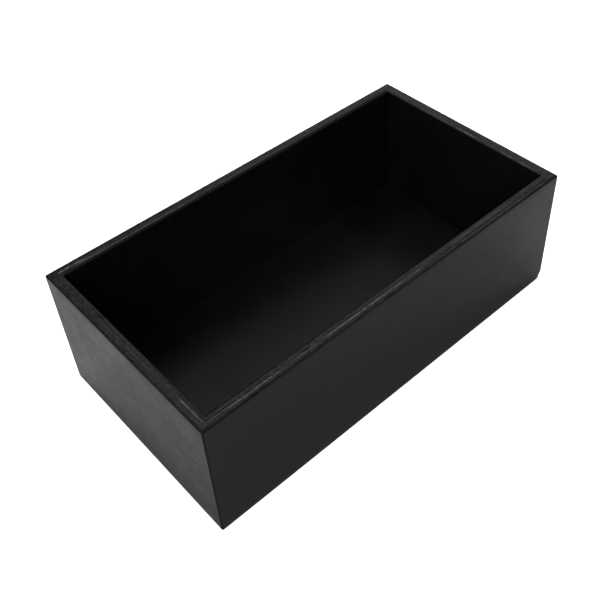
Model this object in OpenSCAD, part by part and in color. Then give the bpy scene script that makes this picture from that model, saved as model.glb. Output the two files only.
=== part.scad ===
// Small open-topped plywood box, painted black inside and out.
// Four boards are mitred at the corners and hold a bottom panel in a groove.
// Length runs along X, width along Y and height along Z, with the front long
// board on the -Y side. The origin is in the middle of the base, where it stands.

/* [Box] */
// Outside length, along X
box_l = 325; // [200:1:600]
// Outside width, along Y
box_w = 175; // [120:1:400]
// Outside height, along Z
box_h = 106; // [80:1:300]
// Thickness of the plywood boards
wall_t = 9; // [7:0.5:18]

/* [Edges] */
// Radius of the rim's outer edge
rim_outer_r = 1.8; // [0.5:0.1:3]
// Radius of the rim's inner edge
rim_inner_r = 0.8; // [0.3:0.1:2]
// Radius of the four upright outer edges
corner_r = 1.5; // [0.5:0.1:3]
// Radius of the base's outer edge
base_outer_r = 1.3; // [0.3:0.1:2]
// Radius of the base's inner edge
base_inner_r = 0.5; // [0.2:0.1:1]

/* [Bottom panel] */
// Thickness of the bottom panel
panel_t = 4; // [3:0.5:8]
// Height of the panel's underside above the base
panel_lift = 2.7; // [2:0.1:20]
// Depth of the groove in each board
groove_depth = 4.5; // [2:0.25:5.5]
// Gap between the panel's edge and the bottom of the groove
panel_gap = 0.5; // [0.2:0.1:1]
// Play above the panel in its groove
groove_play = 0.1; // [0:0.05:0.3]

/* [Corner splines] */
// Thickness of a spline
spline_t = 2; // [1:0.25:3]
// Width of a spline, half of it in each board
spline_w = 5; // [3:0.5:6]
// Distance of a spline's middle from the inside corner, along the mitre
spline_inset = 4.5; // [3.5:0.25:5]
// Height of a spline's lower end above the floor of the box
spline_above_floor = 12; // [9:1:30]
// Distance of a spline's upper end below the rim
spline_below_rim = 18; // [14:1:30]
// Room for glue past each long edge and each end of a spline
glue_gap = 0.3; // [0.1:0.1:0.6]

/* [Corner pins] */
// Diameter of a headless steel pin
pin_d = 0.64; // [0.6:0.02:1.6]
// Length of a pin, with its point
pin_l = 18; // [12:1:30]
// Length of a pin's point
pin_point = 1; // [0.5:0.1:2]
// Depth to which a pin is punched below the board's face, filled flush
pin_set = 1; // [0.5:0.1:2]
// Height of the lower pin above the floor of the box
pin_above_floor = 6; // [3:0.5:8]
// Distance of the upper pin below the rim
pin_below_rim = 12; // [6:0.5:13]
// Play around a pin: a driven pin wedges itself in the wood and has none
pin_play = 0; // [0:0.01:0.1]

/* [Hidden] */
// Height of the floor inside the box
floor_z = panel_lift + panel_t;
// How far the groove reaches outside the box's clear inside, on every side
panel_reach = groove_depth - panel_gap;
// A spline's lower end and its length
spline_z = floor_z + spline_above_floor;
spline_l = box_h - spline_below_rim - spline_z;
// Heights of the two pins in each corner
pin_heights = [floor_z + pin_above_floor, box_h - pin_below_rim];
// How far a cutting shape runs past what it cuts
over = 1;
$fn = 96;

// What rounding an edge takes off a section's corner at the origin
module edge_cut(r) {
    difference() {
        translate([-over, -over]) square(r + over);
        translate([r, r]) circle(r);
    }
}

// A board's section: outer face on x = 0, base on y = 0
module board_section() {
    difference() {
        square([wall_t, box_h]);
        edge_cut(base_outer_r);
        translate([wall_t, 0]) mirror([1, 0]) edge_cut(base_inner_r);
        translate([0, box_h]) mirror([0, 1]) edge_cut(rim_outer_r);
        translate([wall_t, box_h]) rotate(180) edge_cut(rim_inner_r);
    }
}

// Plan of a board with both ends mitred at 45 degrees, outer face on y = 0
module mitre_plan(length) {
    outer_x = length / 2 + over;
    inner_x = length / 2 - wall_t - over;
    polygon([
        [-outer_x, -over],
        [outer_x, -over],
        [inner_x, wall_t + over],
        [-inner_x, wall_t + over]
    ]);
}

// Plan of the whole box, with its upright edges rounded
module box_plan() {
    difference() {
        square([box_l, box_w], center = true);
        for (x = [0, 1], y = [0, 1])
            mirror([x, 0]) mirror([0, y])
                translate([-box_l / 2, -box_w / 2]) edge_cut(corner_r);
    }
}

// Groove for the bottom panel, cut round the inside of the boards
module panel_groove() {
    inner_l = box_l - 2 * wall_t;
    inner_w = box_w - 2 * wall_t;
    translate([0, 0, panel_lift])
        linear_extrude(panel_t + groove_play)
            square([inner_l + 2 * groove_depth, inner_w + 2 * groove_depth], center = true);
}

// Puts its children at one corner: their origin is the outer corner of the base,
// and the two boards leave it along +X and +Y
module at_corner(side_x, side_y) {
    mirror([side_x > 0 ? 1 : 0, 0, 0])
        mirror([0, side_y > 0 ? 1 : 0, 0])
            translate([-box_l / 2, -box_w / 2, 0])
                children();
}

// A spline across the mitre, or its slot when there is a gap
module spline(gap = 0) {
    translate([wall_t, wall_t, spline_z - gap])
        rotate(45)
            translate([-spline_inset - spline_t / 2, -spline_w / 2 - gap, 0])
                cube([spline_t, spline_w + 2 * gap, spline_l + 2 * gap]);
}

// The two pins of a corner, driven through the long board into the short one
module corner_pins(play = 0) {
    for (z = pin_heights)
        translate([wall_t / 2, pin_set, z])
            rotate([-90, 0, 0])
                pin(pin_d / 2 + play);
}

module pin(r) {
    cylinder(h = pin_l - pin_point, r = r);
    translate([0, 0, pin_l - pin_point])
        cylinder(h = pin_point, r1 = r, r2 = r / 3);
}

// A mitred board before its joints are cut, outer face on y = 0
module board_blank(length) {
    intersection() {
        rotate([90, 0, 90])
            linear_extrude(length + 2 * over, center = true)
                board_section();
        linear_extrude(box_h)
            mitre_plan(length);
    }
}

// Rounds a board's upright edges and cuts its groove, slots and pin holes
module jointed_board() {
    difference() {
        intersection() {
            children();
            linear_extrude(box_h) box_plan();
        }
        panel_groove();
        for (side_x = [-1, 1], side_y = [-1, 1])
            at_corner(side_x, side_y) {
                spline(glue_gap);
                corner_pins(pin_play);
            }
    }
}

// Long board, on the front for -1 and on the back for 1
module long_wall(side) {
    color("#1b1b1d")
        jointed_board()
            mirror([0, side > 0 ? 1 : 0, 0])
                translate([0, -box_w / 2, 0])
                    board_blank(box_l);
}

// Short board, on the left for -1 and on the right for 1
module short_wall(side) {
    color("#262627")
        jointed_board()
            rotate(90 * side)
                translate([0, -box_l / 2, 0])
                    board_blank(box_w);
}

module front_wall() {
    long_wall(-1);
}

module back_wall() {
    long_wall(1);
}

module left_wall() {
    short_wall(-1);
}

module right_wall() {
    short_wall(1);
}

// Panel captive in the groove, standing on the groove's lower side
module bottom_panel() {
    panel_l = box_l - 2 * wall_t + 2 * panel_reach;
    panel_w = box_w - 2 * wall_t + 2 * panel_reach;
    color("#151517")
        translate([0, 0, panel_lift])
            linear_extrude(panel_t)
                square([panel_l, panel_w], center = true);
}

module spline_at(side_x, side_y) {
    color("#b58a58") at_corner(side_x, side_y) spline();
}

module spline_front_left() {
    spline_at(-1, -1);
}

module spline_front_right() {
    spline_at(1, -1);
}

module spline_back_left() {
    spline_at(-1, 1);
}

module spline_back_right() {
    spline_at(1, 1);
}

module pins_at(side_x, side_y) {
    color("#9a9da1") at_corner(side_x, side_y) corner_pins();
}

module pins_front_left() {
    pins_at(-1, -1);
}

module pins_front_right() {
    pins_at(1, -1);
}

module pins_back_left() {
    pins_at(-1, 1);
}

module pins_back_right() {
    pins_at(1, 1);
}

front_wall();
back_wall();
left_wall();
right_wall();
bottom_panel();
spline_front_left();
spline_front_right();
spline_back_left();
spline_back_right();
pins_front_left();
pins_front_right();
pins_back_left();
pins_back_right();
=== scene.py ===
import math

import bpy
from mathutils import Matrix, Vector


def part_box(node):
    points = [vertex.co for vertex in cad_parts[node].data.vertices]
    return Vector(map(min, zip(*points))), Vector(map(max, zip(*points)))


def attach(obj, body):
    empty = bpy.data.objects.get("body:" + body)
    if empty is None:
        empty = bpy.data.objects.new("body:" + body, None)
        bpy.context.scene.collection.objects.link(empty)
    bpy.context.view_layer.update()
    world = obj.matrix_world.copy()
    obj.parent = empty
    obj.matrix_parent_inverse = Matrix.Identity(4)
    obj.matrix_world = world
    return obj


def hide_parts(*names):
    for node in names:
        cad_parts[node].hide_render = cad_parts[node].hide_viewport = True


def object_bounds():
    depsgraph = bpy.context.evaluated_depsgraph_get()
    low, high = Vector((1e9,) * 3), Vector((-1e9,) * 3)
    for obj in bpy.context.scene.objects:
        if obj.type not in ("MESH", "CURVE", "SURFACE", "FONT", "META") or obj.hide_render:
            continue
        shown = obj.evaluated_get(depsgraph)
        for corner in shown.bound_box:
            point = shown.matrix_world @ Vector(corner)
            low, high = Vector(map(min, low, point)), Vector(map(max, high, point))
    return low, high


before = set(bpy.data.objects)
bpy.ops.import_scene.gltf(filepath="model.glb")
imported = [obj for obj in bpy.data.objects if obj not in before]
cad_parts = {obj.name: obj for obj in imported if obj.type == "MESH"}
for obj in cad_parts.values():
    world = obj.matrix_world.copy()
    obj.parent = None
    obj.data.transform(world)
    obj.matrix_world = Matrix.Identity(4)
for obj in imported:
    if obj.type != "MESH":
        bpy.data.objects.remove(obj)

cad_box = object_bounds()
box_low, box_high = (Vector(corner) for corner in cad_box)
box_length, box_width, box_height = box_high - box_low
MM = 0.001


# ---------------------------------------------------------------------------
# The four boards: 9 mm plywood, two thin face plies glued to a thicker core.
# Each is mitred at both ends, grooved for the bottom, glued and pinned, then
# eased along its edges with sandpaper before the box is sprayed black.
# ---------------------------------------------------------------------------
board_thickness = 9 * MM
rim_outer_ease = (2.5 * MM, 1.1 * MM)
rim_inner_ease = (2.0 * MM, 1.0 * MM)
rim_crown = 0.1 * MM
base_outer_ease = (1.2 * MM, 1.2 * MM)
base_inner_ease = (0.5 * MM, 0.5 * MM)
groove_low, groove_height, groove_depth = 2.7 * MM, 4.1 * MM, 4.5 * MM


def eased_edge(corner, ease, start, steps):
    """A quarter oval that takes a corner off, anticlockwise from the start angle in degrees."""
    across, up = ease
    middle_angle = math.radians(start + 45)
    middle = (corner[0] - math.copysign(across, math.cos(middle_angle)),
              corner[1] - math.copysign(up, math.sin(middle_angle)))
    angles = [math.radians(start + 90 * i / steps) for i in range(steps + 1)]
    return [(middle[0] + across * math.cos(a), middle[1] + up * math.sin(a)) for a in angles]


def stretch(start, end, steps):
    """Points strictly between two ends."""
    shares = [i / steps for i in range(1, steps)]
    return [(start[0] + (end[0] - start[0]) * s, start[1] + (end[1] - start[1]) * s) for s in shares]


def board_section():
    """A board's outline as (depth from the outer face, height), its rim crowned and its edges eased."""
    t, h = board_thickness, box_height
    foot_out = eased_edge((0, 0), base_outer_ease, 180, 6)
    foot_in = eased_edge((t, 0), base_inner_ease, 270, 3)
    rim_in = eased_edge((t, h), rim_inner_ease, 0, 12)
    rim_out = eased_edge((0, h), rim_outer_ease, 90, 12)
    rim = rim_in + stretch(rim_in[-1], rim_out[0], 20) + rim_out
    rim = [(depth, level - rim_crown * (2 * depth / t - 1) ** 2) for depth, level in rim]
    groove_high = groove_low + groove_height
    groove = [
        (t, groove_low), (t - groove_depth, groove_low),
        (t - groove_depth, groove_high), (t, groove_high),
    ]
    return (
        foot_out + stretch(foot_out[-1], foot_in[0], 4) + foot_in + groove
        + stretch(groove[-1], rim[0], 12) + rim + stretch(rim[-1], foot_out[0], 18)
    )


def feed(tree, socket, value):
    """Links a socket to another, or gives it a value."""
    if isinstance(value, bpy.types.NodeSocket):
        tree.links.new(value, socket)
    elif value is not None:
        socket.default_value = value


def step(tree, kind, *values, out=0, named=None, **settings):
    """Adds a node, feeds its inputs in order or by name, and returns one of its outputs."""
    node = tree.nodes.new(kind)
    for name, value in settings.items():
        setattr(node, name, value)
    for socket, value in zip(node.inputs, values):
        feed(tree, socket, value)
    for name, value in (named or {}).items():
        feed(tree, node.inputs[name], value)
    return node.outputs[out]


def calc(tree, operation, *values):
    return step(tree, "ShaderNodeMath", *values, operation=operation)


def ramp(tree, value, low, high, to_low=0.0, to_high=1.0):
    """Smoothly turns a value between low and high into one between to_low and to_high."""
    return step(tree, "ShaderNodeMapRange", interpolation_type="SMOOTHSTEP", named={
        "Value": value, "From Min": low, "From Max": high, "To Min": to_low, "To Max": to_high})


def vector(tree, x, y, z):
    return step(tree, "ShaderNodeCombineXYZ", x, y, z)


def split(tree, value):
    """The x, y and z of a vector."""
    node = tree.nodes.new("ShaderNodeSeparateXYZ")
    feed(tree, node.inputs[0], value)
    return node.outputs[:3]


def noise(tree, place, scale, detail=2.0, roughness=0.5):
    return step(tree, "ShaderNodeTexNoise", named={
        "Vector": place, "Scale": scale, "Detail": detail, "Roughness": roughness})


def captured(tree, geometry, field):
    """Keeps a field's value on the points of a geometry: returns the geometry and the value."""
    node = tree.nodes.new("GeometryNodeCaptureAttribute")
    node.capture_items.new("VECTOR", "Kept")
    feed(tree, node.inputs[0], geometry)
    feed(tree, node.inputs[1], field)
    return node.outputs[0], node.outputs[1]


def new_group(name, kind, inputs, outputs):
    """An empty node group with named inputs and outputs: the tree, its inputs and its outputs."""
    tree = bpy.data.node_groups.new(name, kind)
    for side, sockets in (("INPUT", inputs), ("OUTPUT", outputs)):
        for label, given in sockets.items():
            kind_of = given if isinstance(given, str) else "Float"
            socket = tree.interface.new_socket(label, in_out=side, socket_type="NodeSocket" + kind_of)
            if kind_of == "Float" and given is not None:
                socket.default_value = given
    return tree, tree.nodes.new("NodeGroupInput").outputs, tree.nodes.new("NodeGroupOutput").inputs


def grouped(tree, group, **values):
    """Places a node group in a tree, feeds its inputs by name and returns its outputs."""
    kind = "GeometryNodeGroup" if tree.bl_idname == "GeometryNodeTree" else "ShaderNodeGroup"
    node = tree.nodes.new(kind)
    node.node_tree = group
    for name, value in values.items():
        feed(tree, node.inputs[name.replace("_", " ")], value)
    return node.outputs


def rim_mark():
    """One mark along a rim, proud or sunk: a lift in height at a place along and across the board."""
    tree, given, out = new_group(
        "rim_mark", "GeometryNodeTree",
        {"Along": 0.0, "Across": 0.0, "Start": 0.0, "End": 0.0, "Fade": 3 * MM,
         "Depth In": 4 * MM, "Half Width": 0.5 * MM, "Rise": 0.1 * MM},
        {"Lift": None})
    beyond = calc(tree, "MAXIMUM", calc(tree, "SUBTRACT", given["Start"], given["Along"]),
                  calc(tree, "SUBTRACT", given["Along"], given["End"]))
    inside_fade = calc(tree, "MULTIPLY", given["Fade"], -1.0)
    lengthwise = ramp(tree, beyond, inside_fade, given["Fade"], 1.0, 0.0)
    off_line = calc(tree, "ABSOLUTE", calc(tree, "SUBTRACT", given["Across"], given["Depth In"]))
    crosswise = ramp(tree, off_line, 0.0, given["Half Width"], 1.0, 0.0)
    lift = calc(tree, "MULTIPLY", calc(tree, "MULTIPLY", lengthwise, crosswise), given["Rise"])
    feed(tree, out["Lift"], lift)
    return tree


def rubbed_corner():
    """Rubs a corner off, from the distances to the three faces that meet in it."""
    tree, given, out = new_group(
        "rubbed_corner", "GeometryNodeTree",
        {"From": "Vector", "Size": 0.5 * MM, "Softness": 1.0 * MM}, {"From": "Vector"})
    x, y, z = split(tree, given["From"])
    diagonal = calc(tree, "DIVIDE", calc(tree, "ADD", calc(tree, "ADD", x, y), z), 3 ** 0.5)
    worn = calc(tree, "SMOOTH_MAX", diagonal, given["Size"], given["Softness"])
    push = calc(tree, "DIVIDE", calc(tree, "SUBTRACT", worn, diagonal), 3 ** 0.5)
    pushes = vector(tree, push, push, push)
    moved = step(tree, "ShaderNodeVectorMath", given["From"], pushes, operation="ADD")
    feed(tree, out["From"], moved)
    return tree


mark_group = rim_mark()
corner_group = rubbed_corner()


def board_tree(name, marks):
    """Sweeps a board's section along its length, mitres its ends and works its rim."""
    tree, size, out = new_group(
        name, "GeometryNodeTree",
        {"Section": "Geometry", "Length": box_length, "Height": box_height, "Upright Radius": 1 * MM,
         "Grain Height": 0.3 * MM, "Lump Height": 0.2 * MM, "Line Wander": 0.6 * MM,
         "Rim Drop": 0.18 * MM, "Face Wave": 0.04 * MM, "Mitre Seam": 0.3 * MM, "Seam Width": 0.5 * MM,
         "Top Corner Wear": 0.5 * MM, "Low End Wear": 0.6 * MM, "High End Wear": 0.6 * MM,
         "Seed": 0.0, "Rings": "Int", "Paint": "Material"},
        {"Board": "Geometry"})
    tree.is_modifier = True

    # The section swept along a line that runs from -1 to 1
    section = step(tree, "GeometryNodeMeshToCurve", size["Section"])
    section, outline = captured(tree, section, step(tree, "GeometryNodeInputPosition"))
    line = step(tree, "GeometryNodeCurvePrimitiveLine", named={"Start": (-1, 0, 0), "End": (1, 0, 0)})
    line = step(tree, "GeometryNodeResampleCurve", named={"Curve": line, "Count": size["Rings"]})
    line, place = captured(tree, line, step(tree, "GeometryNodeInputPosition"))
    swept = step(tree, "GeometryNodeCurveToMesh", named={
        "Curve": line, "Profile Curve": section, "Fill Caps": True})

    # Rings stand closer together towards the mitres, and lean until they lie in them
    depth, level, _ = split(tree, outline)
    way, _, _ = split(tree, place)
    crowd = calc(tree, "MULTIPLY", calc(tree, "SINE", calc(tree, "MULTIPLY", way, math.pi)), 0.3 / math.pi)
    spread = calc(tree, "ADD", way, crowd)
    half = calc(tree, "MULTIPLY", size["Length"], 0.5)
    along = calc(tree, "MULTIPLY", spread, calc(tree, "SUBTRACT", half, depth))
    from_end = calc(tree, "SUBTRACT", half, calc(tree, "ABSOLUTE", along))

    # The upright edge's round, half of it on each board, with the mitre's glue line sunk in it
    radius = size["Upright Radius"]
    inside_x = calc(tree, "MINIMUM", calc(tree, "SUBTRACT", from_end, radius), 0.0)
    inside_y = calc(tree, "MINIMUM", calc(tree, "SUBTRACT", depth, radius), 0.0)
    square = calc(tree, "MULTIPLY", calc(tree, "MINIMUM", inside_x, inside_y), -1.0)
    inside = vector(tree, inside_x, inside_y, 0.0)
    reach_in = step(tree, "ShaderNodeVectorMath", inside, operation="LENGTH", out=1)
    pull = calc(tree, "SUBTRACT", calc(tree, "DIVIDE", square, calc(tree, "MAXIMUM", reach_in, 1e-7)), 1.0)
    soft_end = calc(tree, "MULTIPLY_ADD", inside_x, pull, from_end)
    soft_depth = calc(tree, "MULTIPLY_ADD", inside_y, pull, depth)
    in_seam = calc(tree, "MULTIPLY", ramp(tree, from_end, 0.0, size["Seam Width"], 1.0, 0.0),
                   ramp(tree, depth, 0.0, radius, 1.0, 0.0))
    soft_end = calc(tree, "MULTIPLY_ADD", in_seam, size["Mitre Seam"], soft_end)
    soft_depth = calc(tree, "MULTIPLY_ADD", in_seam, size["Mitre Seam"], soft_depth)

    # The rim: open grain and lumps in the raw edge, and the marks of the plies, which wander a little
    seed = size["Seed"]
    drift = calc(tree, "SUBTRACT", noise(tree, vector(tree, along, seed, 0.0), 60.0), 0.5)
    across = calc(tree, "MULTIPLY_ADD", drift, size["Line Wander"], depth)
    grain = noise(tree, vector(tree, calc(tree, "MULTIPLY", along, 0.7), across, seed), 700.0, 3.0, 0.6)
    lumps = noise(tree, vector(tree, along, across, seed), 260.0, 1.0)
    lift = calc(tree, "MULTIPLY", calc(tree, "SUBTRACT", grain, 0.5), size["Grain Height"])
    lift = calc(tree, "MULTIPLY_ADD", calc(tree, "SUBTRACT", lumps, 0.5), size["Lump Height"], lift)
    ragged = calc(tree, "MULTIPLY_ADD", calc(tree, "SUBTRACT", grain, 0.5), 1.2 * MM, across)
    broken = ramp(tree, noise(tree, vector(tree, along, across, seed), 330.0, 2.0), 0.36, 0.58, 0.25, 1.0)
    marks_and_highlight = 0.0
    strong_line = 0.15 * MM
    short_mark, short_fade, long_fade = 10, 0.8, 4
    for start, end, depth_in, half_width, rise in marks:
        fade = short_fade if end - start < short_mark else long_fade
        mark = grouped(tree, mark_group, Along=along, Across=ragged, Start=start * MM, End=end * MM,
                       Fade=fade * MM, Depth_In=depth_in * MM,
                       Half_Width=half_width * MM, Rise=rise * MM)["Lift"]
        mark = calc(tree, "MULTIPLY", mark, broken)
        lift = calc(tree, "ADD", mark, lift)
        marks_and_highlight = calc(tree, "MULTIPLY_ADD", mark, 1 / strong_line, marks_and_highlight)
    on_rim = ramp(tree, calc(tree, "SUBTRACT", size["Height"], level), 0.3 * MM, 1.4 * MM, 1.0, 0.0)
    lift = calc(tree, "SUBTRACT", lift, size["Rim Drop"])
    soft_level = calc(tree, "MINIMUM", calc(tree, "MULTIPLY_ADD", lift, on_rim, level), size["Height"])

    # The outer face's slow waves, and the box's corners rubbed at the base and the rim
    waves = calc(tree, "SUBTRACT", noise(tree, vector(tree, along, level, seed), 22.0, 1.0), 0.3)
    outer = ramp(tree, depth, 0.0, 1.0 * MM, 1.0, 0.0)
    wave = calc(tree, "MULTIPLY", calc(tree, "MULTIPLY", waves, outer), size["Face Wave"])
    soft_depth = calc(tree, "MAXIMUM", calc(tree, "ADD", soft_depth, wave), 0.0)
    at_high_end = calc(tree, "GREATER_THAN", way, 0.0)
    wear = step(tree, "ShaderNodeMix", named={
        "Factor": at_high_end, "A": size["Low End Wear"], "B": size["High End Wear"]})
    from_base = vector(tree, soft_end, soft_depth, soft_level)
    low_corner = grouped(tree, corner_group, From=from_base, Size=wear)
    soft_end, soft_depth, soft_level = split(tree, low_corner["From"])
    from_top = calc(tree, "SUBTRACT", size["Height"], soft_level)
    top_corner = grouped(tree, corner_group, From=vector(tree, soft_end, soft_depth, from_top),
                         Size=size["Top Corner Wear"])
    soft_end, soft_depth, from_top = split(tree, top_corner["From"])
    end_x = calc(tree, "MULTIPLY", calc(tree, "SIGN", way), calc(tree, "SUBTRACT", half, soft_end))

    shaped = step(tree, "GeometryNodeSetPosition", named={
        "Geometry": swept,
        "Position": vector(tree, end_x, soft_depth, calc(tree, "SUBTRACT", size["Height"], from_top))})
    # Stores how far each rim mark stands proud or sinks; the paint turns the proud ones light grey as a
    # painted highlight
    shaped = step(tree, "GeometryNodeStoreNamedAttribute", named={
        "Geometry": shaped, "Name": "ply_marks_and_highlight", "Value": calc(tree, "MULTIPLY", marks_and_highlight, on_rim)})
    shaped = step(tree, "GeometryNodeRealizeInstances", shaped)
    shaped = step(tree, "GeometryNodeSetMaterial", named={"Geometry": shaped, "Material": size["Paint"]})
    feed(tree, out["Board"], shaped)
    return tree


def built(name, mesh, tree, place, **sizes):
    """Runs a tree on a mesh, with its sizes set by name, and returns the result as a plain object."""
    host = bpy.data.objects.new(name + "_host", mesh)
    bpy.context.scene.collection.objects.link(host)
    modifier = host.modifiers.new("shape", "NODES")
    modifier.node_group = tree
    sockets = {s.name: s.identifier for s in tree.interface.items_tree if s.in_out == "INPUT"}
    for label, value in sizes.items():
        modifier[sockets[label.replace("_", " ")]] = value
    result = bpy.data.meshes.new_from_object(host.evaluated_get(bpy.context.evaluated_depsgraph_get()))
    bpy.data.objects.remove(host)
    result.name = name
    result.transform(place)
    piece = bpy.data.objects.new(name, result)
    bpy.context.scene.collection.objects.link(piece)
    return piece


def paint_film():
    """A sprayed satin film over wood: its tone, roughness and height, at a place in metres."""
    tree, given, out = new_group(
        "paint_film", "ShaderNodeTree",
        {"Place": "Vector", "Grain Height": 0.35, "Stipple Height": 0.25},
        {"Tone": None, "Roughness": None, "Height": None})
    x, y, z = split(tree, given["Place"])
    stipple = noise(tree, given["Place"], 700.0, 3.0, 0.55)
    along_grain = vector(tree, calc(tree, "MULTIPLY", x, 0.04), y, z)
    grain = noise(tree, along_grain, 1500.0, 4.0, 0.6)
    cloud = noise(tree, given["Place"], 28.0, 3.0)
    mottle = noise(tree, given["Place"], 170.0, 3.0, 0.6)
    dust = tree.nodes.new("ShaderNodeTexVoronoi")
    feed(tree, dust.inputs["Vector"], given["Place"])
    feed(tree, dust.inputs["Scale"], 130.0)
    cell = split(tree, dust.outputs["Color"])
    few = calc(tree, "GREATER_THAN", cell[0], 0.72)
    nib_radius = calc(tree, "MULTIPLY_ADD", cell[1], 0.05, 0.025)
    off_nib = calc(tree, "DIVIDE", dust.outputs["Distance"], nib_radius)
    nib = calc(tree, "MULTIPLY", few, ramp(tree, off_nib, 0.5, 1.0, 1.0, 0.0))

    tone = ramp(tree, cloud, 0.3, 0.7, 0.85, 1.2)
    tone = calc(tree, "ADD", tone, calc(tree, "MULTIPLY", nib, calc(tree, "SUBTRACT", cell[2], 0.35)))
    roughness = calc(tree, "MULTIPLY", grain, 0.06)
    roughness = calc(tree, "ADD", ramp(tree, cloud, 0.25, 0.75, -0.04, 0.04), roughness)
    roughness = calc(tree, "ADD", roughness, ramp(tree, mottle, 0.3, 0.7, -0.035, 0.035))
    height = calc(tree, "MULTIPLY", stipple, given["Stipple Height"])
    height = calc(tree, "MULTIPLY_ADD", grain, given["Grain Height"], height)
    height = calc(tree, "MULTIPLY_ADD", mottle, 0.2, height)
    height = calc(tree, "MULTIPLY_ADD", nib, 0.05, height)
    for name, value in (("Tone", tone), ("Roughness", roughness), ("Height", height)):
        feed(tree, out[name], value)
    return tree


def edge_wear():
    """Where the box is rubbed on its outer edges, and where its raw rim and its mitre seams lie."""
    tree, given, out = new_group(
        "edge_wear", "ShaderNodeTree", {"Place": "Vector", "Reach": 3 * MM},
        {"Wear": None, "Rim": None, "Top": None, "Seam": None})
    x, y, z = split(tree, given["Place"])
    off_x = calc(tree, "SUBTRACT", box_length / 2, calc(tree, "ABSOLUTE", x))
    off_y = calc(tree, "SUBTRACT", box_width / 2, calc(tree, "ABSOLUTE", y))
    off_top = calc(tree, "SUBTRACT", box_height, z)
    off_z = calc(tree, "MINIMUM", z, off_top)
    off_upright = calc(tree, "ADD", off_x, off_y)
    off_end_edge = calc(tree, "ADD", off_x, off_z)
    off_side_edge = calc(tree, "ADD", off_y, off_z)
    near = calc(tree, "MINIMUM", calc(tree, "MINIMUM", off_upright, off_end_edge), off_side_edge)
    broken = noise(tree, given["Place"], 260.0, 4.0, 0.65)
    edge = ramp(tree, near, 0.3 * MM, given["Reach"], 1.0, 0.0)
    feed(tree, out["Wear"], ramp(tree, calc(tree, "MULTIPLY", edge, broken), 0.28, 0.5))
    feed(tree, out["Rim"], ramp(tree, off_top, 0.9 * MM, 1.8 * MM, 1.0, 0.0))
    feed(tree, out["Top"], ramp(tree, off_top, 0.2 * MM, 0.65 * MM, 1.0, 0.0))
    feed(tree, out["Seam"], ramp(tree, off_upright, 0.6 * MM, 1.3 * MM, 1.0, 0.0))
    return tree


film = paint_film()
wear_mask = edge_wear()


def blend(tree, factor, first, second, mode="MIX"):
    """Mixes two colours."""
    mix = tree.nodes.new("ShaderNodeMix")
    mix.data_type = "RGBA"
    mix.blend_type = mode
    for socket, value in ((0, factor), (6, first), (7, second)):
        feed(tree, mix.inputs[socket], value)
    return mix.outputs[2]


worn_black = (0.02, 0.02, 0.019, 1.0)
speckle_grey = (0.038, 0.038, 0.038, 1.0)
# Light grey painted on the crests of proud rim marks: a painted highlight
painted_highlight_grey = (0.23, 0.235, 0.24, 1.0)
seam_dulling, sunk_dulling = 0.5, 0.35


def black_paint(name, turn, black, roughness, rim_roughness, grain, stipple):
    """Satin black paint on wood, its grain turned by an angle about the upright, duller on a raw rim, with
    a painted highlight along proud rim marks and painted shade in sunk ones.
    """
    material = bpy.data.materials.new(name)
    material.use_nodes = True
    tree = material.node_tree
    place = step(tree, "ShaderNodeTexCoord", out="Object")
    turned = step(tree, "ShaderNodeMapping", named={"Vector": place, "Rotation": (0, 0, turn)})
    coat = grouped(tree, film, Place=turned, Grain_Height=grain, Stipple_Height=stipple)
    edges = grouped(tree, wear_mask, Place=place, Reach=3.2 * MM)
    tone = step(tree, "ShaderNodeCombineColor", coat["Tone"], coat["Tone"], coat["Tone"])
    colour = blend(tree, 1.0, (*black, 1.0), tone, "MULTIPLY")
    colour = blend(tree, calc(tree, "MULTIPLY", edges["Wear"], 0.35), colour, worn_black)
    x, y, z = split(tree, turned)
    open_grain = noise(tree, vector(tree, calc(tree, "MULTIPLY", x, 0.55), y, z), 760.0, 3.0, 0.7)
    marks_and_highlight = step(tree, "ShaderNodeAttribute", attribute_name="ply_marks_and_highlight", out=2)
    # Sunk rim marks lose the grey speckle, so they are painted darker than the rim around them: painted
    # shade in the recess
    unsunk = ramp(tree, marks_and_highlight, -0.7, 0.0)
    speckled = calc(tree, "MULTIPLY", edges["Top"], unsunk)
    speckle = calc(tree, "MULTIPLY", ramp(tree, open_grain, 0.44, 0.66), speckled)
    colour = blend(tree, speckle, colour, speckle_grey)
    # Proud rim marks are painted light grey: a painted highlight where their crests would catch the light
    colour = blend(tree, calc(tree, "MAXIMUM", marks_and_highlight, 0.0), colour, painted_highlight_grey)
    relief = calc(tree, "MULTIPLY_ADD", speckle, 0.8, coat["Height"])
    bump = step(tree, "ShaderNodeBump", named={"Strength": 1.0, "Distance": 0.1 * MM, "Height": relief})
    gloss = calc(tree, "MULTIPLY_ADD", edges["Rim"], rim_roughness - roughness, roughness)
    gloss = calc(tree, "MULTIPLY_ADD", edges["Seam"], seam_dulling, gloss)
    gloss = calc(tree, "MULTIPLY_ADD", calc(tree, "SUBTRACT", 1.0, unsunk), sunk_dulling, gloss)
    shader = tree.nodes["Principled BSDF"]
    feed(tree, shader.inputs["Base Color"], colour)
    feed(tree, shader.inputs["Roughness"], calc(tree, "ADD", coat["Roughness"], gloss))
    feed(tree, shader.inputs["Normal"], bump)
    shader.inputs["IOR"].default_value = 1.5
    return material


paint_black = (0.0065, 0.0065, 0.0068)
board_film = (paint_black, 0.3, 0.36, 0.35, 0.25)
long_paint = black_paint("satin_black_long_boards", 0.0, *board_film)
short_paint = black_paint("satin_black_short_boards", math.pi / 2, *board_film)

section_points = board_section()
section_edges = [(i, (i + 1) % len(section_points)) for i in range(len(section_points))]
section_mesh = bpy.data.meshes.new("board_section")
section_mesh.from_pydata([(depth, level, 0) for depth, level in section_points], section_edges, [])
ring_pitch = 0.33 * MM
crease = math.radians(40)


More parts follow.
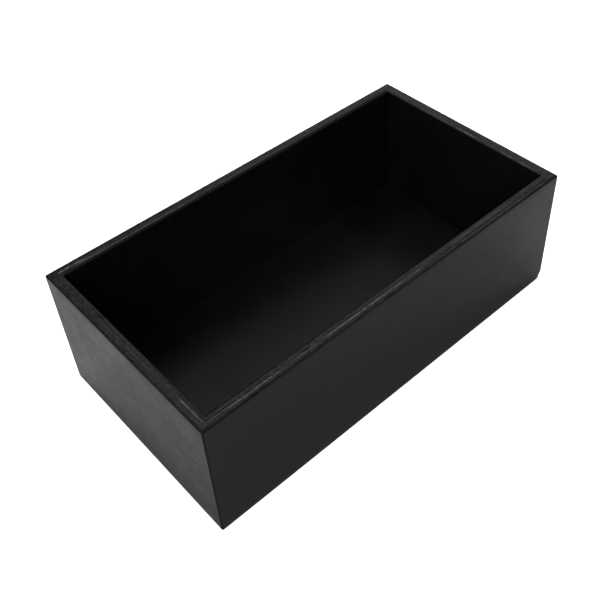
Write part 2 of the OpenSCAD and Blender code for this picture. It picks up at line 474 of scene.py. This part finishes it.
def fit_board(name, node, angle, length, paint, marks, **sizes):
    """Builds one board on the -Y side of the box, and turns it to its own side."""
    off_middle = box_width / 2 if length == box_length else box_length / 2
    place = Matrix.Rotation(angle, 4, "Z") @ Matrix.Translation((0, -off_middle, 0))
    rings = round(length / ring_pitch)
    tree = board_tree("mitred_" + name, marks)
    piece = built(name, section_mesh, tree, place, Length=length, Rings=rings, Paint=paint, **sizes)
    piece.data.shade_smooth()
    piece.data.set_sharp_from_angle(angle=crease)
    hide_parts(node)
    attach(piece, "root")


# Each rim's marks in millimetres: from and to (along the board, counted from its middle), depth in
# from the outer face, half width and rise. The glue between the plies stands proud or sinks, and the
# core ply has a few gaps and bruises. Proud marks also get a painted highlight in the paint, and sunk
# ones painted shade.
front_marks = [
    (-141, -102, 3.6, 0.55, 0.15), (-92, -74, 3.7, 0.5, 0.08), (-65, 2, 4.1, 0.55, 0.16),
    (4, 22, 4.2, 0.5, 0.07), (-159, -137, 5.4, 0.45, -0.2), (-158, -141, 4.3, 0.45, 0.05),
    (-152, -137, 6.5, 0.45, 0.04), (30, 152, 3.5, 0.7, -0.12), (60, 150, 1.9, 0.6, 0.03),
    (55, 110, 5.4, 0.8, 0.04), (-150, -100, 5.2, 0.5, -0.1), (-60, 20, 5.8, 0.6, -0.08),
    (-69.5, -65, 1.7, 0.9, -0.35), (-84, -78, 5.2, 0.6, -0.25),
]
back_marks = [
    (134, 156, 5.0, 0.7, 0.17), (118, 134, 5.0, 0.6, 0.08), (45, 142, 7.0, 0.7, 0.1),
    (60, 156, 2.9, 0.8, -0.12), (-150, -115, 5.6, 0.6, -0.12), (-40, 20, 6.2, 0.6, 0.04),
    (-100, 30, 5.0, 0.5, -0.06), (-152, 152, 8.4, 1.3, -0.5),
]
left_marks = [
    (58, 82, 5.1, 0.55, 0.12), (28, 79, 7.2, 0.5, -0.22), (14, 30, 7.1, 0.5, -0.12),
    (-33, -25, 6.8, 0.8, -0.8), (-20, 30, 4.5, 0.5, 0.03), (-70, 40, 3.7, 0.5, -0.06),
]
right_marks = [
    (-71, -58, 7.6, 0.6, 0.12), (-51, -40, 7.6, 0.5, 0.09), (-16, 3, 7.5, 0.7, 0.11),
    (10, 40, 7.6, 0.5, 0.06), (-20, -1, 4.8, 0.7, -0.2), (-60, 60, 6.0, 0.5, -0.06),
]
fit_board("front_board", "front_wall", 0.0, box_length, long_paint, front_marks, Seed=1.7,
          High_End_Wear=2.6 * MM)
fit_board("back_board", "back_wall", math.pi, box_length, long_paint, back_marks, Seed=4.1)
fit_board("left_board", "left_wall", -math.pi / 2, box_width, short_paint, left_marks, Seed=7.9)
fit_board("right_board", "right_wall", math.pi / 2, box_width, short_paint, right_marks, Seed=11.3,
          Low_End_Wear=2.6 * MM)


# ---------------------------------------------------------------------------
# The bottom panel: 4 mm plywood, loose-fitted in the boards' grooves and
# painted with the box. Its face veneer shows faintly through the paint.
# ---------------------------------------------------------------------------
panel_low, panel_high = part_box("bottom_panel")


def panel_tree():
    """A slab whose two faces wave a little across the grain."""
    tree, size, out = new_group(
        "grooved_in_panel", "GeometryNodeTree",
        {"Blank": "Geometry", "Veneer Wave": 0.08 * MM, "Paint": "Material"}, {"Panel": "Geometry"})
    tree.is_modifier = True
    slab = step(tree, "GeometryNodeMeshCube", named={
        "Size": panel_high - panel_low, "Vertices X": 210, "Vertices Y": 110, "Vertices Z": 3})
    x, y, z = split(tree, step(tree, "GeometryNodeInputPosition"))
    wave = noise(tree, vector(tree, calc(tree, "MULTIPLY", x, 0.15), y, calc(tree, "SIGN", z)), 120.0, 2.0)
    drop = calc(tree, "MULTIPLY", calc(tree, "MULTIPLY", wave, size["Veneer Wave"]), calc(tree, "SIGN", z))
    slab = step(tree, "GeometryNodeSetPosition", named={
        "Geometry": slab, "Position": vector(tree, x, y, calc(tree, "SUBTRACT", z, drop))})
    slab = step(tree, "GeometryNodeRealizeInstances", slab)
    slab = step(tree, "GeometryNodeSetMaterial", named={"Geometry": slab, "Material": size["Paint"]})
    feed(tree, out["Panel"], slab)
    return tree


# The panel wears the boards' paint, but its black is set lighter: painted light, standing in for the light
# that reaches the floor inside the box
panel_paint_painted_light = black_paint("satin_black_panel_painted_light", 0.0, (0.0085, 0.0085, 0.0095), 0.36, 0.36, 1.2, 0.8)
panel = built("floor_panel", bpy.data.meshes.new("panel"), panel_tree(),
              Matrix.Translation((panel_low + panel_high) / 2),
              Veneer_Wave=0.08 * MM, Paint=panel_paint_painted_light)
panel.data.shade_smooth()
panel.data.set_sharp_from_angle(angle=crease)
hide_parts("bottom_panel")
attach(panel, "root")


# ---------------------------------------------------------------------------
# The splines: bare plywood strips glued into slots across the four mitres.
# They can't be seen once the box is glued up.
# ---------------------------------------------------------------------------
def bare_ply():
    material = bpy.data.materials.new("bare_birch_ply")
    material.use_nodes = True
    tree = material.node_tree
    place = step(tree, "ShaderNodeTexCoord", out="Object")
    x, y, z = split(tree, place)
    grain = noise(tree, vector(tree, x, y, calc(tree, "MULTIPLY", z, 0.06)), 1800.0, 4.0, 0.6)
    colour = blend(tree, grain, (0.33, 0.2, 0.1, 1.0), (0.62, 0.44, 0.26, 1.0))
    shader = tree.nodes["Principled BSDF"]
    feed(tree, shader.inputs["Base Color"], colour)
    feed(tree, shader.inputs["Roughness"], ramp(tree, grain, 0.2, 0.8, 0.55, 0.75))
    feed(tree, shader.inputs["Normal"], step(tree, "ShaderNodeBump", named={
        "Strength": 0.6, "Distance": 0.05 * MM, "Height": grain}))
    return material


def coat_nodes(start, material):
    """Gives the nodes whose names start alike their material."""
    for node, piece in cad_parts.items():
        if node.startswith(start):
            piece.data.materials.clear()
            piece.data.materials.append(material)


coat_nodes("spline_", bare_ply())


# ---------------------------------------------------------------------------
# The pins: headless steel pins, two in each corner, punched in below the face
# of the long boards and filled over.
# ---------------------------------------------------------------------------
def pin_wire():
    material = bpy.data.materials.new("bright_pin_wire")
    material.use_nodes = True
    tree = material.node_tree
    place = step(tree, "ShaderNodeTexCoord", out="Object")
    x, y, z = split(tree, place)
    drawn = noise(tree, vector(tree, x, calc(tree, "MULTIPLY", y, 0.05), z), 9000.0, 3.0)
    shader = tree.nodes["Principled BSDF"]
    shader.inputs["Metallic"].default_value = 1.0
    colour = blend(tree, drawn, (0.42, 0.41, 0.4, 1.0), (0.62, 0.61, 0.6, 1.0))
    feed(tree, shader.inputs["Base Color"], colour)
    feed(tree, shader.inputs["Roughness"], ramp(tree, drawn, 0.2, 0.8, 0.25, 0.4))
    return material


coat_nodes("pins_", pin_wire())


# ---------------------------------------------------------------------------
# The floor that the box stands on, the studio light and the camera.
# ---------------------------------------------------------------------------
floor_mesh = bpy.data.meshes.new("studio_floor")
reach = 12.0
floor_corners = [(-reach, -reach, 0), (reach, -reach, 0), (reach, reach, 0), (-reach, reach, 0)]
floor_mesh.from_pydata(floor_corners, [], [(0, 1, 2, 3)])
floor = bpy.data.objects.new("studio_floor", floor_mesh)
bpy.context.scene.collection.objects.link(floor)
floor_paper = bpy.data.materials.new("pale_paper")
floor_paper.use_nodes = True
paper = floor_paper.node_tree.nodes["Principled BSDF"]
paper.inputs["Base Color"].default_value = (0.85, 0.85, 0.85, 1)
paper.inputs["Roughness"].default_value = 0.9
paper.inputs["Emission Color"].default_value = (1, 1, 1, 1)
# The backdrop is lifted to white for the camera only, so the lift itself casts no light on the box
paper_lift = 0.95
seen = step(floor_paper.node_tree, "ShaderNodeLightPath")
lifted = calc(floor_paper.node_tree, "MULTIPLY", seen, paper_lift)
feed(floor_paper.node_tree, paper.inputs["Emission Strength"], lifted)
floor_mesh.materials.append(floor_paper)


lamp_distance = 1.8


def soft_light(name, azimuth, elevation, size, power, colour=(1, 1, 1), mirrored=True):
    """A square soft light aimed at the box, its azimuth in degrees from +X towards +Y."""
    light = bpy.data.lights.new(name, "AREA")
    light.shape = "SQUARE"
    light.size = size
    light.energy = power
    light.color = colour
    lamp = bpy.data.objects.new(name, light)
    a, e = math.radians(azimuth), math.radians(elevation)
    towards = Vector((math.cos(a) * math.cos(e), math.sin(a) * math.cos(e), math.sin(e)))
    lamp.location = towards * lamp_distance
    lamp.rotation_euler = (-lamp.location).to_track_quat("-Z", "Y").to_euler()
    lamp.visible_glossy = mirrored
    bpy.context.scene.collection.objects.link(lamp)


# Two low lamps light only the paper and the paint's matt share: the gloss doesn't mirror them
warm_white = (1.0, 0.975, 0.93)
cool_white = (0.9, 0.95, 1.0)
soft_light("back_lamp", 90, 30, 0.5, 20, warm_white, mirrored=False)
soft_light("right_lamp", 15, 20, 0.5, 9.2, cool_white, mirrored=False)
soft_light("front_panel", 210, 35, 1.3, 10)
soft_light("top_lamp", 83, 69, 0.6, 2.3)
soft_light("front_right_lamp", 310, 45, 0.5, 1.9, cool_white)
soft_light("back_right_lamp", 40, 38, 1.1, 2.7)
soft_light("back_left_lamp", 140, 40, 0.6, 0.8, warm_white)

world = bpy.data.worlds.new("studio")
world.use_nodes = True
background = world.node_tree.nodes["Background"]
background.inputs["Color"].default_value = (1, 1, 1, 1)
seen = step(world.node_tree, "ShaderNodeLightPath")
feed(world.node_tree, background.inputs["Strength"], seen)
bpy.context.scene.world = world
bpy.context.scene.view_settings.view_transform = "Standard"

camera_data = bpy.data.cameras.new("camera")
camera_data.sensor_fit = "HORIZONTAL"
camera_data.sensor_width = 36
camera_data.lens = 53.47
camera_data.shift_x = -0.0401
camera_data.shift_y = -0.1053
camera = bpy.data.objects.new("camera", camera_data)
camera.location = (-0.29788, -0.35733, 0.51957)
camera.rotation_euler = [math.radians(angle) for angle in (47.369, 2.005, -42.524)]
bpy.context.scene.collection.objects.link(camera)
bpy.context.scene.camera = camera
